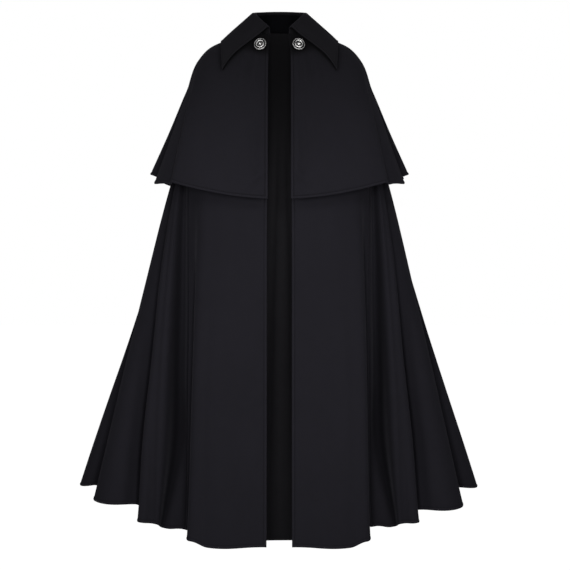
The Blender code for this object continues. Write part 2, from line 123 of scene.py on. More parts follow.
def drapedGrid(cut, downs, columns):
    # The rings with the folds laid on. A column counts along the fold table, 2.5 is half way from
    # row 2 to row 3; between two rows the cloth swings as a cosine from one's swing to the other's,
    # and leans over its valley by roll * depth * sin(2 pi share). A fold's place goes from the hem's
    # to the neck's with (1 - down)^spread, and it opens between foldsBegin and the first level.
    rings = smoothRows(cut["rings"], downs)
    down = downs[:, None]
    folds = np.array(cut["folds"])
    side, top, hem, dip = folds[:, 0], folds[:, 1], folds[:, 2], folds[:, -1]
    levels = np.array(cut["levels"])
    opened = np.clip((down - cut["foldsBegin"]) / (levels[0] - cut["foldsBegin"]), 0, 1)
    lowered = np.clip((down - levels[0]) / (1 - levels[0]), 0, 1)
    place = hem + (top - hem) * (1 - down) ** cut["spread"]
    place = np.where(side == right, place, 2 - place)
    swings = np.column_stack([levels, folds[:, 3:-1].T])
    swing = smoothRows(swings, np.maximum(downs, levels[0]))[:, 1:] * opened

    row = np.clip(columns.astype(int), 0, len(side) - 2)
    share = (columns - row)[None]
    turn = (1 - np.cos(math.pi * share)) / 2
    out = swing[:, row] * (1 - turn) + swing[:, row + 1] * turn
    overhang = cut["roll"] * np.abs(swing[:, row + 1] - swing[:, row]) * np.sin(2 * math.pi * share)
    around = place[:, row] * (1 - share) + place[:, row + 1] * share

    onRight = around <= 1
    points, way = halfRings(rings, np.where(onRight, around, 2 - around))
    outward = np.stack([way[..., 1], -way[..., 0]], axis=2)
    heading = np.where(onRight, 1, -1)[..., None] * way
    points[..., :2] += outward * out[..., None] + heading * overhang[..., None]
    points[..., 2] -= (dip[row] * (1 - turn) + dip[row + 1] * turn) * lowered
    points[..., 0] *= np.where(onRight, right, left)
    return points


def waysOut(points):
    # The way out of a grid of points: along the rows crossed with down the columns.
    ways = np.cross(np.gradient(points, axis=1), np.gradient(points, axis=0))
    return ways / np.linalg.norm(ways, axis=2)[..., None]


def evenColumns(cut, first, last, spacing):
    # Columns between two places in the fold table, about one spacing apart along the hem. At each
    # end they crowd together by edgeSteps; further in, none stands closer to another than
    # columnApart + columnGrowth * the way from the nearer end.
    fine = np.linspace(first, last, sampling["hem"])
    hem = drapedGrid(cut, np.array([sampling["hemLevel"]]), fine)
    length = runAlong(hem, 1)[0]
    columns = [first, last]
    for index in range(math.floor(first), math.ceil(last)):
        start, end = max(index, first), min(index + 1, last)
        span = np.interp(end, fine, length) - np.interp(start, fine, length)
        cells = max(sampling["leastCells"], math.ceil(span / spacing))
        columns += list(np.linspace(start, end, cells + 1))
    columns += list(np.interp(edgeSteps, length, fine))
    columns += list(np.interp(length[-1] - edgeSteps, length, fine))
    columns = np.sort(np.array(columns))
    place = np.interp(columns, fine, length)
    inside = np.minimum(np.minimum(place, place[-1] - place), sampling["columnReach"])
    apart = sampling["columnApart"] + sampling["columnGrowth"] * inside
    return columns[np.concatenate([[True], np.diff(place) > apart[1:]])]


def evenRows(length, spacing):
    # Shares of the way down, about one spacing apart, closer at the seam on top and at the hem.
    even = np.linspace(0, 1, math.ceil(length / spacing) + 1)
    rows = np.sort(np.concatenate([even, seamSteps / length, 1 - edgeSteps / length]))
    return rows[np.concatenate([[True], np.diff(rows) > sampling["rowApart"] / length])]


def creased(points, around, down, creases):
    # Each crease is a soft ridge or trough along a line over the flat cloth, which bends aside by
    # 4 bow share (1 - share): out = height * exp(-(distance / width)^2) * sin(pi share)^0.7, with
    # the share of its length.
    out = np.zeros(around.shape)
    for startAround, startDown, endAround, endDown, bow, width, height in creases:
        alongX, alongY = endAround - startAround, endDown - startDown
        length = math.hypot(alongX, alongY)
        share = ((around - startAround) * alongX + (down - startDown) * alongY) / length**2
        aside = ((around - startAround) * alongY - (down - startDown) * alongX) / length
        inside = np.clip(share, 0, 1)
        aside -= bow * 4 * inside * (1 - inside)
        out += height * np.exp(-((aside / width) ** 2)) * np.sin(math.pi * inside) ** 0.7
    return points + waysOut(points) * out[..., None]


def quads(grid):
    # The four corners of each cell in a grid of point numbers.
    corners = (grid[:-1, :-1], grid[:-1, 1:], grid[1:, 1:], grid[1:, :-1])
    return np.stack(corners, axis=2).reshape(-1, 4)


def smoothPiece(name, places, faces):
    # A smooth-shaded object in the scene, from its points and faces.
    mesh = bpy.data.meshes.new(name)
    mesh.from_pydata(places, [], faces)
    mesh.polygons.foreach_set("use_smooth", np.ones(len(mesh.polygons), dtype=bool))
    piece = bpy.data.objects.new(name, mesh)
    bpy.context.scene.collection.objects.link(piece)
    return piece


sewing = {
    "grooveWidth": 0.0011,  # of the groove that a row of stitches pulls
    "insideShare": 0.4,  # of a band's fullness that shows on the inside
    "seamBack": 0.0002,  # how far a panel's edge stands back from the middle of its seam
    "seamBackReach": 0.002,
    "seamSink": 0.0011,  # how far the cloth sinks at that edge
    "seamSinkReach": 0.0035,
}


def clothShell(name, points, settings, stitched, centre=0.0):
    # A wall of cloth round a grid of points: half the thickness out and in, drawn together to a
    # round rim at the grid's edges, h = r * sqrt(1 - (1 - s / r)^2). Along a stitched edge the
    # band outside the stitches is fuller, + band * sin(pi s / stitch), and the stitches pull a
    # groove, - pull * exp(-((s - stitch) / grooveWidth)^2). stitched names the edges of the grid
    # that have such a band: hem, first, last. Of the two maps, "cloth" holds the way across, from
    # the share named centre, and the way down; "edge" holds the way from the nearest stitched
    # edge, and along it.
    rows, columns = points.shape[:2]
    around, down = runAlong(points, 1), runAlong(points, 0)
    toHem, toLast = down[-1:] - down, around[:, -1:] - around
    distance = {"top": down, "hem": toHem, "first": around, "last": toLast}
    nearest = np.minimum.reduce(list(distance.values()))
    half = settings["thickness"] / 2
    rim = half * np.sqrt(1 - (1 - np.clip(nearest / half, 0, 1)) ** 2)
    stitch = settings["stitch"]
    edge = np.full((rows, columns), 1.0)
    run = np.zeros((rows, columns))
    for where in stitched:
        closer = distance[where] < edge
        edge = np.where(closer, distance[where], edge)
        run = np.where(closer, around if where == "hem" else down, run)
    outside = np.clip(edge / stitch, 0, 1)
    full = settings["band"] * np.sin(math.pi * outside) * (edge < stitch)
    full = full - settings["pull"] * np.exp(-(((edge - stitch) / sewing["grooveWidth"]) ** 2))
    full = full * (1 - np.exp(-nearest / half))
    ways = waysOut(points)
    outer = points + ways * (rim + full)[..., None]
    inner = points - ways * (rim + sewing["insideShare"] * full)[..., None]

    index = np.arange(rows * columns).reshape(rows, columns)
    innerIndex = index.copy()
    innerCells = np.arange((rows - 2) * (columns - 2)).reshape(rows - 2, columns - 2)
    innerIndex[1:-1, 1:-1] = rows * columns + innerCells
    places = np.concatenate([outer.reshape(-1, 3), inner[1:-1, 1:-1].reshape(-1, 3)])
    outerFaces, innerFaces = quads(index), quads(innerIndex)[:, ::-1]
    piece = smoothPiece(name, places, np.concatenate([outerFaces, innerFaces]).tolist())
    mesh = piece.data
    cornersOf = np.concatenate([outerFaces, outerFaces[:, ::-1]]).ravel()
    layers = {"cloth": (around - centre * around[:, -1:], down), "edge": (edge, run)}
    for layerName, (u, v) in layers.items():
        layer = mesh.uv_layers.new(name=layerName)
        layer.data.foreach_set("uv", np.stack([u.ravel(), v.ravel()], axis=1)[cornersOf].ravel())
    mesh.polygons.foreach_set("material_index", np.repeat([0, 1], len(outerFaces)))
    mesh.update()
    return piece


def hangCloth(piece, node, materials, flat, area, restsOn, held="hung"):
    # Materials of the outside and the inside; flat size and area as cut, which are not used.
    for material in materials:
        piece.data.materials.append(material)
    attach(piece, "root")
    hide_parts(node)


def addNode(tree, kind, **settings):
    # A new node with its own settings, such as operation.
    node = tree.nodes.new(kind)
    for key, value in settings.items():
        setattr(node, key, value)
    return node


def setInputs(node, values):
    # Values of the node's sockets, by their names.
    for socket, value in values.items():
        node.inputs[socket].default_value = value


def newFinish(name):
    # A new material, its nodes and its surface shader.
    material = bpy.data.materials.new(name)
    material.use_nodes = True
    tree = material.node_tree
    return material, tree, tree.nodes["Principled BSDF"]


def mathNode(tree, operation, first, second=None, third=None):
    # The operation on one to three values, each a number or another node's output.
    node = addNode(tree, "ShaderNodeMath", operation=operation)
    for socket, value in zip(node.inputs, (first, second, third)):
        if isinstance(value, (int, float)):
            socket.default_value = value
        elif value is not None:
            tree.links.new(value, socket)
    return node.outputs[0]


def noiseNode(tree, coordinates, scale, detail, roughness):
    # Cloudy noise between 0 and 1, with scale clouds to a metre.
    node = addNode(tree, "ShaderNodeTexNoise")
    setInputs(node, {"Scale": scale, "Detail": detail, "Roughness": roughness})
    tree.links.new(coordinates, node.inputs["Vector"])
    return node.outputs["Fac"]


def rangeNode(tree, value, start, end, low=0.0, high=1.0, kind="SMOOTHSTEP"):
    # From low to high while the value goes from start to end: with s the share of the way, it
    # goes by s^2 (3 - 2 s), or straight if kind is LINEAR.
    node = addNode(tree, "ShaderNodeMapRange", interpolation_type=kind)
    setInputs(node, {"From Min": start, "From Max": end, "To Min": low, "To Max": high})
    tree.links.new(value, node.inputs["Value"])
    return node.outputs[0]


def sumNode(tree, values, weights):
    # The sum of each value times its weight.
    total = 0.0
    for value, weight in zip(values, weights):
        total = mathNode(tree, "MULTIPLY_ADD", value, weight, total)
    return total


def colourNode(tree, factor, dark, light):
    # dark * (1 - factor) + light * factor.
    node = addNode(tree, "ShaderNodeMix", data_type="RGBA")
    setInputs(node, {"A": (*dark, 1), "B": (*light, 1)})
    tree.links.new(factor, node.inputs["Factor"])
    return node.outputs["Result"]


def bumpNode(tree, height, strength, shader):
    # Tilts the shader's surface by the slope of a height in metres.
    node = addNode(tree, "ShaderNodeBump")
    setInputs(node, {"Strength": strength, "Distance": 1.0})
    tree.links.new(height, node.inputs["Height"])
    tree.links.new(node.outputs[0], shader.inputs["Normal"])


woolFinish = {
    "dark": (0.0093, 0.0088, 0.0117),
    "light": (0.0152, 0.0143, 0.0190),
    "twillPitch": 0.0013,  # from one diagonal rib to the next
    "twillTurn": math.radians(52),
    "twillWaver": {"Distortion": 1.6, "Detail": 2.0, "Detail Scale": 2.5},
    "nap": (1500, 4.0, 0.65),  # scale, detail and roughness of its noise
    "clouds": (38, 3.0, 0.55),
    "dye": (4.5, 2.0, 0.5),
    "tones": (0.28, 0.42, 0.30, 0.30),  # weight of ribs, nap, clouds and dye in the pattern
    "toneRange": (0.30, 0.95),  # the pattern where the colour is all dark, and all light
    "heights": (0.00010, 0.00022, 0.00025),  # of ribs, nap and stitches
    "bump": 0.6,
    "roughness": (0.86, 0.97),  # as the clouds go
    "gloss": 0.10,
    "sheen": 0.06,
    "sheenRoughness": 0.45,
    "sheenTint": (0.80, 0.78, 0.92, 1),
    "stitchLength": 0.0030,
    "stitchGap": 0.0009,
    "threadEnds": (0.48, 0.34),  # share of a stitch from its middle where the thread rises
    "threadSides": (0.00045, 0.00015),  # distance from the row's middle where it rises
    # painted highlight: the band outside the stitches is painted lighter, where the edge catches
    # light
    "edgeHighlight": 1.09,  # lightness of the pressed band outside the stitches
    "edgeHighlightFade": 0.0012,
    # painted shade in the groove that the stitches pull
    "stitchGrooveShade": 0.80,  # lightness along the sunk row of stitches
    "stitchGrooveShadeSides": (0.0006, 0.0022),  # distance from the row's middle where that fades
    # painted shade near the neck, as under the collar: lightness there, and from where to where on
    # the way down it fades
    "paintedNeckShades": (),  # lightness at the neck, and from where to where on the way down it fades
    # painted contact shade: the colour is darkened where cloth lies near other cloth
    "contactShadeReach": 0.026,  # cloth this close to other cloth is darker, the more so the nearer
    # power of that shade, added up, with the stretch on the way down where it changes: high under
    # the capelet, low below it, and more again at the hem
    "contactShadePowers": ((0.405, 0.46, 2.3, 0.15), (0.60, 0.92, 0.0, 0.9)),
    "contactShadeSamples": 6,
}


def woolMaterial(name, settings, stitchAt):
    # Coating wool: diagonal twill ribs, a short raised nap that clouds them, uneven dye, and a row
    # of stitches along the finished edges. Height = ribs + nap + stitches; colour goes from dark to
    # light with the same pattern, times the painted shade near the neck, times a painted highlight
    # outside the stitches and painted shade along them, times painted contact shade: (the share
    # within the reach that is open) ^ its power.
    material, tree, shader = newFinish(name)
    link = tree.links.new
    cloth = addNode(tree, "ShaderNodeUVMap", uv_map="cloth").outputs[0]
    edge = addNode(tree, "ShaderNodeUVMap", uv_map="edge").outputs[0]
    solid = addNode(tree, "ShaderNodeTexCoord").outputs["Object"]
    clothParts = addNode(tree, "ShaderNodeSeparateXYZ")
    link(cloth, clothParts.inputs[0])
    edgeParts = addNode(tree, "ShaderNodeSeparateXYZ")
    link(edge, edgeParts.inputs[0])
    wayDown, fromEdge, alongEdge = clothParts.outputs[1], edgeParts.outputs[0], edgeParts.outputs[1]

    turned = addNode(tree, "ShaderNodeMapping")
    setInputs(turned, {"Rotation": (0, 0, settings["twillTurn"])})
    link(cloth, turned.inputs["Vector"])
    ribs = addNode(tree, "ShaderNodeTexWave", wave_type="BANDS", bands_direction="X")
    scale = 2 * math.pi / 20 / settings["twillPitch"]  # at scale 1 the bands lie 2 pi / 20 apart
    setInputs(ribs, {"Scale": scale, **settings["twillWaver"]})
    link(turned.outputs[0], ribs.inputs["Vector"])
    twill = ribs.outputs["Fac"]
    nap, clouds, dye = (noiseNode(tree, solid, *settings[key]) for key in ("nap", "clouds", "dye"))

    repeat = settings["stitchLength"] + settings["stitchGap"]
    phase = mathNode(tree, "FRACT", mathNode(tree, "DIVIDE", alongEdge, repeat))
    fromMiddle = mathNode(tree, "ABSOLUTE", mathNode(tree, "SUBTRACT", phase, 0.5))
    fromRow = mathNode(tree, "ABSOLUTE", mathNode(tree, "SUBTRACT", fromEdge, stitchAt))
    lengthwise = rangeNode(tree, fromMiddle, *settings["threadEnds"])
    crosswise = rangeNode(tree, fromRow, *settings["threadSides"])
    stitches = mathNode(tree, "MULTIPLY", lengthwise, crosswise)

    pattern = sumNode(tree, (twill, nap, clouds, dye), settings["tones"])
    tone = rangeNode(tree, pattern, *settings["toneRange"], kind="LINEAR")
    colour = colourNode(tree, tone, settings["dark"], settings["light"])
    # painted highlight on the band outside the stitches
    bandEnd = stitchAt - settings["edgeHighlightFade"]
    edgeHighlight = rangeNode(tree, fromEdge, stitchAt, bandEnd, 1.0, settings["edgeHighlight"])
    # painted shade along the sunk row of stitches
    grooveShade = rangeNode(tree, fromRow, *settings["stitchGrooveShadeSides"], settings["stitchGrooveShade"])
    lightness = mathNode(tree, "MULTIPLY", edgeHighlight, grooveShade)
    # painted shade near the neck, where the collar shades the cloth
    for share, start, end in settings["paintedNeckShades"]:
        neckShade = rangeNode(tree, wayDown, start, end, share)
        lightness = mathNode(tree, "MULTIPLY", lightness, neckShade)
    # painted contact shade under the capelet, the collar and in the folds
    nearby = addNode(tree, "ShaderNodeAmbientOcclusion", samples=settings["contactShadeSamples"])
    setInputs(nearby, {"Distance": settings["contactShadeReach"]})
    powers = (rangeNode(tree, wayDown, *span, kind="LINEAR") for span in settings["contactShadePowers"])
    contactShade = mathNode(tree, "POWER", nearby.outputs["AO"], mathNode(tree, "ADD", *powers))
    lightness = mathNode(tree, "MULTIPLY", lightness, contactShade)
    shade = addNode(tree, "ShaderNodeVectorMath", operation="SCALE")
    link(colour, shade.inputs[0])
    link(lightness, shade.inputs["Scale"])
    link(shade.outputs[0], shader.inputs["Base Color"])

    rough = rangeNode(tree, clouds, 0, 1, *settings["roughness"], kind="LINEAR")
    link(rough, shader.inputs["Roughness"])
    height = sumNode(tree, (twill, nap, stitches), settings["heights"])
    bumpNode(tree, height, settings["bump"], shader)
    setInputs(shader, {
        "Specular IOR Level": settings["gloss"],
        "Sheen Weight": settings["sheen"],
        "Sheen Roughness": settings["sheenRoughness"],
        "Sheen Tint": settings["sheenTint"],
    })
    return material


cloak = {
    # name, node, which end of its grid is a front edge, flat size and area
    "panels": (
        ("cloakFrontRight", "cloak_front_right", "first", (0.74, 1.25), 0.66),
        ("cloakBack", "cloak_back", None, (1.95, 1.27), 1.00),
        ("cloakFrontLeft", "cloak_front_left", "last", (0.72, 1.25), 0.645),
    ),
    "length": 1.20,  # from neck to hem
    "thickness": 0.0016,
    "stitch": 0.0065,  # from a finished edge to its row of stitches
    "band": 0.0008,  # how much fuller the cloth is outside the stitches
    "pull": 0.0003,  # how deep the stitches pull it in
    "spacing": 0.0052,  # of the front panels' columns
    "backSpacing": 0.0072,
    "rowSpacing": 0.0090,
    "foldsBegin": 0.13,  # share of the way down
    "levels": (0.35, 0.53, 0.70, 0.85, 1.00),  # shares of the way down that the swings are for
    "spread": 1.3,  # how soon the folds reach their places at the hem
    "roll": 0.11,  # how far they lean over their valleys
    # down, half of the front opening, then reach and height at the side, front and back,
    # squareness, arch of the front and of the back
    "rings": (
        (0.000, 0.0210, 0.064, 0.007, 0.066, -0.003, 0.068, 0.012, 2.0, 0.75, 0.75),
        (0.045, 0.0262, 0.110, -0.016, 0.077, -0.052, 0.092, -0.040, 2.0, 0.75, 0.75),
        (0.088, 0.0270, 0.155, -0.040, 0.096, -0.104, 0.113, -0.096, 2.1, 0.71, 0.71),
        (0.130, 0.0274, 0.182, -0.080, 0.110, -0.152, 0.126, -0.150, 2.2, 0.66, 0.66),
        (0.350, 0.0285, 0.243, -0.330, 0.155, -0.405, 0.168, -0.415, 2.2, 0.62, 0.70),
        (0.695, 0.0285, 0.334, -0.724, 0.228, -0.808, 0.243, -0.830, 2.2, 0.62, 0.90),
        (1.000, 0.0285, 0.433, -1.050, 0.292, -1.178, 0.305, -1.212, 2.2, 0.62, 1.10),
    ),
    # side, place at the neck and at the hem, swing at each of the levels, dip at the hem
    "folds": (
        (right, 0.000, 0.000, 0.000, 0.001, 0.002, 0.004, 0.006, -0.002),
        (right, 0.250, 0.112, 0.010, 0.015, 0.018, 0.021, 0.024, 0.009),
        (right, 0.272, 0.143, 0.011, 0.016, 0.020, 0.023, 0.026, 0.001),
        (right, 0.422, 0.166, 0.000, -0.021, -0.029, -0.034, -0.033, -0.014),
        (right, 0.446, 0.188, -0.008, -0.033, -0.054, -0.076, -0.063, -0.008),
        (right, 0.470, 0.232, -0.012, -0.040, -0.063, -0.085, -0.046, 0.001),
        (right, 0.481, 0.240, 0.006, 0.006, 0.006, 0.000, -0.020, -0.007),
        (right, 0.487, 0.266, 0.006, 0.013, 0.012, 0.014, 0.003, -0.003),
        (right, 0.531, 0.269, -0.002, -0.012, -0.052, -0.055, -0.046, -0.034),
        (right, 0.606, 0.360, 0.008, 0.014, 0.022, 0.027, 0.034, -0.010),
        (right, 0.665, 0.398, -0.004, 0.000, -0.001, -0.007, -0.016, -0.026),
        (right, 0.710, 0.440, 0.008, 0.015, 0.022, 0.029, 0.036, -0.009),
        (right, 0.755, 0.490, -0.006, -0.014, -0.022, -0.029, -0.036, 0.000),
        (right, 0.800, 0.560, 0.009, 0.016, 0.023, 0.029, 0.034, 0.004),
        (right, 0.845, 0.630, -0.006, -0.013, -0.020, -0.026, -0.032, 0.000),
        (right, 0.885, 0.705, 0.009, 0.017, 0.024, 0.030, 0.036, 0.004),
        (right, 0.925, 0.785, -0.006, -0.014, -0.022, -0.029, -0.036, 0.000),
        (right, 0.958, 0.860, 0.008, 0.015, 0.021, 0.026, 0.032, 0.002),
        (right, 0.985, 0.935, -0.005, -0.012, -0.019, -0.025, -0.030, 0.000),
        (left, 0.990, 0.995, 0.007, 0.014, 0.020, 0.025, 0.030, 0.002),
        (left, 0.960, 0.925, -0.006, -0.014, -0.021, -0.027, -0.034, 0.000),
        (left, 0.922, 0.845, 0.008, 0.015, 0.022, 0.028, 0.034, 0.004),
        (left, 0.880, 0.765, -0.006, -0.013, -0.019, -0.024, -0.030, 0.000),
        (left, 0.840, 0.690, 0.009, 0.017, 0.024, 0.030, 0.036, 0.004),
        (left, 0.800, 0.615, -0.006, -0.014, -0.022, -0.029, -0.036, 0.000),
        (left, 0.755, 0.540, 0.007, 0.013, 0.018, 0.022, 0.026, 0.002),
        (left, 0.715, 0.480, -0.006, -0.013, -0.020, -0.026, -0.032, 0.000),
        (left, 0.675, 0.430, 0.007, 0.014, 0.021, 0.027, 0.034, -0.009),
        (left, 0.630, 0.392, -0.004, 0.000, -0.001, -0.007, -0.016, -0.022),
        (left, 0.583, 0.352, 0.008, 0.014, 0.022, 0.027, 0.034, 0.001),
        (left, 0.494, 0.265, -0.002, -0.012, -0.052, -0.055, -0.046, -0.024),
        (left, 0.477, 0.262, 0.006, 0.009, 0.006, 0.008, 0.001, -0.003),
        (left, 0.465, 0.235, 0.006, 0.003, 0.001, -0.004, -0.022, -0.009),
        (left, 0.453, 0.230, -0.012, -0.040, -0.063, -0.085, -0.046, -0.003),
        (left, 0.437, 0.187, -0.008, -0.033, -0.052, -0.076, -0.063, -0.015),
        (left, 0.416, 0.161, 0.000, -0.023, -0.030, -0.035, -0.034, -0.024),
        (left, 0.299, 0.141, 0.011, 0.016, 0.020, 0.023, 0.026, 0.001),
        (left, 0.250, 0.111, 0.010, 0.015, 0.018, 0.021, 0.024, 0.009),
        (left, 0.000, 0.000, 0.000, 0.001, 0.002, 0.004, 0.006, -0.002),
    ),
    "sideSeams": (11.5, 26.5),  # places in the fold table
    # where each starts and where it ends, across from the front edge or from the middle of the
    # back, and down from the neck, then bow, width and height
    "frontCreases": (
        (0.062, 0.40, 0.075, 0.72, 0.004, 0.014, -0.0014),
        (0.030, 0.44, 0.026, 0.80, -0.003, 0.018, 0.0020),
        (0.090, 0.78, 0.070, 1.19, 0.006, 0.026, -0.0042),
        (0.036, 0.92, 0.040, 1.20, 0.003, 0.014, 0.0022),
        (0.118, 0.70, 0.128, 1.18, 0.004, 0.012, 0.0020),
        (0.002, 0.742, 0.050, 0.790, 0.002, 0.006, 0.0010),
        (0.002, 0.812, 0.046, 0.850, 0.002, 0.007, -0.0010),
        (0.002, 0.845, 0.056, 0.905, 0.003, 0.007, 0.0012),
        (0.058, 0.98, 0.066, 1.15, 0.003, 0.008, 0.0012),
    ),
    "backCreases": (
        (-0.10, 0.45, -0.16, 0.80, 0.006, 0.016, 0.0020),
        (0.12, 0.50, 0.17, 0.92, -0.006, 0.016, -0.0018),
        (0.02, 0.38, 0.03, 0.74, 0.004, 0.012, 0.0016),
        (-0.36, 0.70, -0.46, 1.08, 0.008, 0.018, 0.0020),
        (0.40, 0.66, 0.50, 1.10, -0.006, 0.018, 0.0020),
    ),
}

# painted shade: deepest just below the collar leaf by the buttons, then fading down the capelet
bodyFinish = {**woolFinish, "paintedNeckShades": ((0.20, 0.038, 0.064), (0.68, 0.05, 0.38))}
# The cloak's inside: the same wool painted lighter, as painted light falling in through the front
# opening, with painted shade towards the neck.
litReverseFinish = {
    **woolFinish,
    "dark": (0.0240, 0.0230, 0.0265),
    "light": (0.0395, 0.0378, 0.0430),
    "edgeHighlight": 1.0,
    "paintedNeckShades": ((0.33, 0.10, 0.50),),
}
bodyWool = woolMaterial("black_coating_wool", bodyFinish, cloak["stitch"])
litWoolBack = woolMaterial("coating_wool_reverse_painted_light", litReverseFinish, cloak["stitch"])


def panelGrid(cut, rows, first, last, frontEnd):
    # A panel between two places in the fold table, with its creases. Each end that isn't a front
    # edge is a seam: there the cloth stands back by seamBack * exp(-s / seamBackReach), and sinks
    # by seamSink * exp(-(s / seamSinkReach)^2).
    isBack = frontEnd is None
    columns = evenColumns(cut, first, last, cut["backSpacing" if isBack else "spacing"])
    points = drapedGrid(cut, rows, columns)
    around, down = runAlong(points, 1), runAlong(points, 0)
    distances = {"first": around, "last": around[:, -1:] - around}
    ways = waysOut(points)
    for end, column, beside in (("first", 0, 1), ("last", -1, -2)):
        if end != frontEnd:
            inward = points[:, beside] - points[:, column]
            inward /= np.linalg.norm(inward, axis=1)[:, None]
            back = sewing["seamBack"] * np.exp(-distances[end] / sewing["seamBackReach"])
            sink = sewing["seamSink"] * np.exp(-((distances[end] / sewing["seamSinkReach"]) ** 2))
            points = points + inward[:, None] * back[..., None] - ways * sink[..., None]
    across = around - around[:, -1:] / 2 if isBack else distances[frontEnd]
    return creased(points, across, down, cut["backCreases" if isBack else "frontCreases"])


def hangPanels(cut, inside):
    # Right front, back and left front, between the front edges and the two side seams.
    rows = evenRows(cut["length"], cut["rowSpacing"])
    ends = (0, *cut["sideSeams"], len(cut["folds"]) - 1)
    for panel, first, last in zip(cut["panels"], ends, ends[1:]):
        name, node, frontEnd, flat, area = panel
        points = panelGrid(cut, rows, first, last, frontEnd)
        stitched, centre = (("hem", frontEnd), 0.0) if frontEnd else (("hem",), 0.5)
        piece = clothShell(name, points, cut, stitched, centre)
        hangCloth(piece, node, (bodyWool, inside), flat, area, ["collar_stand"])
        print(name, len(piece.data.polygons) * 2, "triangles")


hangPanels(cloak, litWoolBack)

# The same settings as the cloak's.
capelet = {
    "panels": (
        ("capeFrontRight", "cape_front_right", "first", (0.40, 0.41), 0.130),
        ("capeBack", "cape_back", None, (0.75, 0.43), 0.227),
        ("capeFrontLeft", "cape_front_left", "last", (0.39, 0.41), 0.126),
    ),
    "length": 0.40,
    "thickness": 0.0016,
    "stitch": 0.0065,
    "band": 0.0011,
    "pull": 0.0004,
    "spacing": 0.0045,
    "backSpacing": 0.0060,
    "rowSpacing": 0.0062,
    "foldsBegin": 0.30,
    "levels": (0.35, 0.53, 0.70, 0.85, 1.00),
    "spread": 1.3,
    "roll": 0.11,
    "rings": (
        (0.000, 0.0210, 0.0664, 0.0090, 0.0688, -0.0022, 0.0708, 0.0130, 2.0, 0.75, 0.75),
        (0.114, 0.0255, 0.116, -0.008, 0.081, -0.046, 0.096, -0.033, 2.0, 0.75, 0.75),
        (0.236, 0.0264, 0.166, -0.031, 0.102, -0.094, 0.120, -0.085, 2.15, 0.75, 0.75),
        (0.330, 0.0266, 0.192, -0.061, 0.115, -0.130, 0.133, -0.123, 2.35, 0.78, 0.78),
        (0.510, 0.0267, 0.217, -0.132, 0.131, -0.200, 0.149, -0.198, 2.6, 0.85, 0.85),
        (0.770, 0.0267, 0.255, -0.240, 0.154, -0.304, 0.173, -0.306, 2.8, 0.95, 0.95),
        (1.000, 0.0267, 0.290, -0.332, 0.175, -0.388, 0.194, -0.400, 2.9, 1.00, 1.00),
    ),
    "folds": (
        (right, 0.000, 0.000, 0.000, 0.001, 0.002, 0.003, 0.003, 0.000),
        (right, 0.430, 0.284, 0.000, 0.003, 0.006, 0.008, 0.010, 0.000),
        (right, 0.460, 0.316, 0.000, -0.001, -0.001, -0.001, -0.002, 0.009),
        (right, 0.490, 0.392, 0.000, 0.002, 0.004, 0.005, 0.006, 0.016),
        (right, 0.520, 0.425, 0.000, -0.002, -0.003, -0.004, -0.006, 0.002),
        (right, 0.560, 0.475, 0.000, 0.004, 0.007, 0.010, 0.013, -0.006),
        (right, 0.620, 0.555, 0.000, -0.003, -0.006, -0.009, -0.012, 0.000),
        (right, 0.700, 0.650, 0.000, 0.004, 0.007, 0.010, 0.013, 0.000),
        (right, 0.785, 0.750, 0.000, -0.003, -0.006, -0.009, -0.012, 0.000),
        (right, 0.870, 0.850, 0.000, 0.003, 0.006, 0.009, 0.012, 0.000),
        (right, 0.950, 0.945, 0.000, -0.003, -0.006, -0.009, -0.011, 0.000),
        (left, 0.975, 0.965, 0.000, 0.003, 0.006, 0.009, 0.011, 0.000),
        (left, 0.890, 0.870, 0.000, -0.003, -0.006, -0.009, -0.012, 0.000),
        (left, 0.800, 0.770, 0.000, 0.003, 0.006, 0.009, 0.012, 0.000),
        (left, 0.715, 0.670, 0.000, -0.003, -0.005, -0.007, -0.010, 0.000),
        (left, 0.635, 0.570, 0.000, 0.003, 0.005, 0.007, 0.010, 0.000),
        (left, 0.590, 0.520, 0.000, -0.002, -0.003, -0.004, -0.006, 0.000),
        (left, 0.560, 0.475, 0.000, 0.004, 0.007, 0.010, 0.013, -0.006),
        (left, 0.520, 0.425, 0.000, -0.002, -0.003, -0.004, -0.006, 0.002),
        (left, 0.490, 0.392, 0.000, 0.002, 0.004, 0.005, 0.006, 0.016),
        (left, 0.460, 0.316, 0.000, -0.001, -0.001, -0.001, -0.002, 0.009),
        (left, 0.430, 0.284, 0.000, 0.003, 0.006, 0.008, 0.010, 0.000),
        (left, 0.000, 0.000, 0.000, 0.001, 0.002, 0.003, 0.003, 0.000),
    ),
    "sideSeams": (5.5, 16.5),
    "frontCreases": (
        (0.020, 0.046, 0.024, 0.150, 0.001, 0.0050, -0.0016),
        (0.030, 0.046, 0.036, 0.130, 0.001, 0.0050, 0.0016),
        (0.042, 0.048, 0.054, 0.150, 0.002, 0.0055, -0.0016),
        (0.054, 0.052, 0.072, 0.160, 0.002, 0.0060, 0.0014),
        (0.010, 0.215, 0.013, 0.340, 0.002, 0.0090, 0.0030),
        (0.034, 0.200, 0.038, 0.370, -0.003, 0.0120, -0.0026),
        (0.004, 0.350, 0.046, 0.388, 0.003, 0.0042, -0.0028),
        (0.004, 0.336, 0.030, 0.362, 0.003, 0.0040, 0.0026),
        (0.006, 0.372, 0.040, 0.398, 0.002, 0.0040, 0.0022),
        (0.014, 0.318, 0.034, 0.352, 0.002, 0.0045, -0.0020),
        (0.075, 0.220, 0.095, 0.400, 0.004, 0.0220, 0.0022),
        (0.125, 0.240, 0.160, 0.390, 0.004, 0.0200, -0.0018),
    ),
    "backCreases": (
        (-0.06, 0.16, -0.10, 0.34, 0.003, 0.012, 0.0012),
        (0.08, 0.18, 0.12, 0.37, -0.003, 0.012, -0.0010),
        (0.00, 0.10, 0.01, 0.26, 0.002, 0.010, 0.0010),
    ),
}

hangPanels(capelet, bodyWool)

